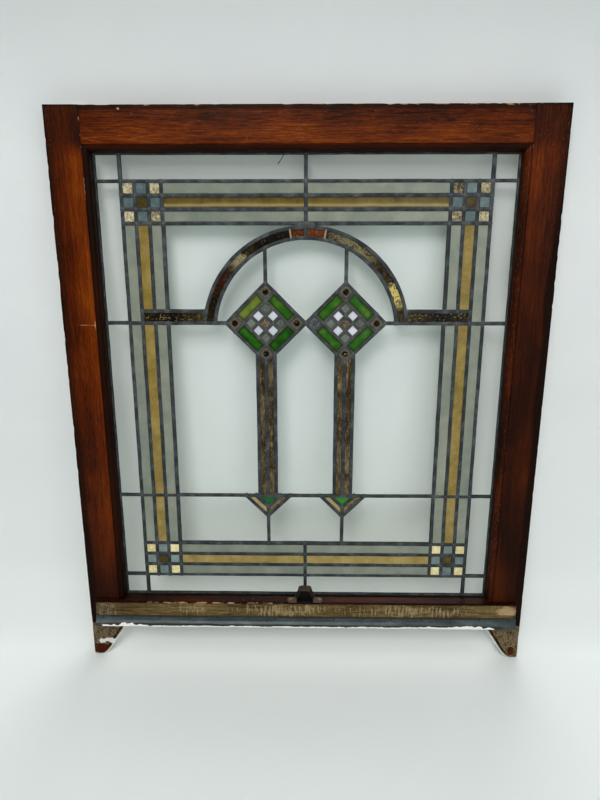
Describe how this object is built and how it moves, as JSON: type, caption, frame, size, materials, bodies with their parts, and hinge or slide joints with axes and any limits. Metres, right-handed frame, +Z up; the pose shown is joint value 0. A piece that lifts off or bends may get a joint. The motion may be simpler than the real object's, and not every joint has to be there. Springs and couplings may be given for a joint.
{
  "type": "stained glass window sash",
  "caption": "Upper wooden window sash with horns, holding a leaded art glass panel: an arch over two diamonds on stems in clear glass, inside a coloured border.",
  "frame": {"origin": "middle of the sash's upper edge, at half its thickness, where it meets the head of its window frame or the rail it hangs from", "axes": "+X to the right seen from the room, +Y from the room side to the outside, +Z up"},
  "size_m": [0.762, 0.052, 0.914],
  "materials": {
    "wood": "dark red-brown varnish, crazed and worn through at the edges, with old paint on the meeting rail and the horns",
    "zinc": "dull grey zinc with brown stains and old paint",
    "iron": "dark brown, worn to grey-brown on the crown",
    "brass": "dull and stained",
    "lead": "dark grey oxidised lead, lighter along its rounded edges, with solder at the joints",
    "putty": "hard, crazed, off white",
    "clear_glass": "clear, slightly wavy old window glass",
    "opal_glass": "grey-green opalescent, faintly streaked",
    "amber_glass": "cloudy amber, faintly streaked",
    "mottled_glass": "brown, black and green mottled, rippled surface",
    "orange_glass": "orange-brown, granular surface",
    "mosaic_glass": "gold, grey opal and dark amber squares, granular surface",
    "green_glass": "green bars with white and grey squares and smoky corner jewels"
  },
  "bodies": {
    "root": {"top_rail": "wood", "meeting_rail": "wood", "stile_left": "wood", "stile_right": "wood", "weatherstrip": "zinc", "lock_keeper": "iron", "keeper_screw_left": "brass", "keeper_screw_right": "brass", "lead_cames": "lead", "glazing_putty": "putty", "margin_top": "clear_glass", "margin_bottom": "clear_glass", "margin_left": "clear_glass", "margin_right": "clear_glass", "margin_corner_top_left": "clear_glass", "margin_corner_top_right": "clear_glass", "margin_corner_bottom_left": "clear_glass", "margin_corner_bottom_right": "clear_glass", "border_top_opal_outer": "opal_glass", "border_top_amber": "amber_glass", "border_top_opal_inner": "opal_glass", "border_bottom_opal_outer": "opal_glass", "border_bottom_amber": "amber_glass", "border_bottom_opal_inner": "opal_glass", "border_left_opal_outer": "opal_glass", "border_left_amber_upper": "amber_glass", "border_left_amber_lower": "amber_glass", "border_left_opal_inner_upper": "opal_glass", "border_left_opal_inner_lower": "opal_glass", "border_right_opal_outer": "opal_glass", "border_right_amber_upper": "amber_glass", "border_right_amber_lower": "amber_glass", "border_right_opal_inner_upper": "opal_glass", "border_right_opal_inner_lower": "opal_glass", "corner_block_top_left": "mosaic_glass", "corner_block_top_right": "mosaic_glass", "corner_block_bottom_left": "mosaic_glass", "corner_block_bottom_right": "mosaic_glass", "arch_left": "mottled_glass", "arch_crown": "orange_glass", "arch_right": "mottled_glass", "arch_bar_left": "mottled_glass", "arch_bar_right": "mottled_glass", "diamond_left": "green_glass", "diamond_right": "green_glass", "stem_left": "mottled_glass", "stem_right": "mottled_glass", "arrow_tip_left": "mottled_glass", "arrow_tip_right": "mottled_glass", "field_arch_middle": "clear_glass", "field_arch_left": "clear_glass", "field_arch_right": "clear_glass", "field_middle": "clear_glass", "field_low_middle": "clear_glass", "field_low_left": "clear_glass", "field_low_right": "clear_glass", "field_side_left": "clear_glass", "field_side_right": "clear_glass", "field_top_left": "clear_glass", "field_top_right": "clear_glass"}
  },
  "joints": []
}
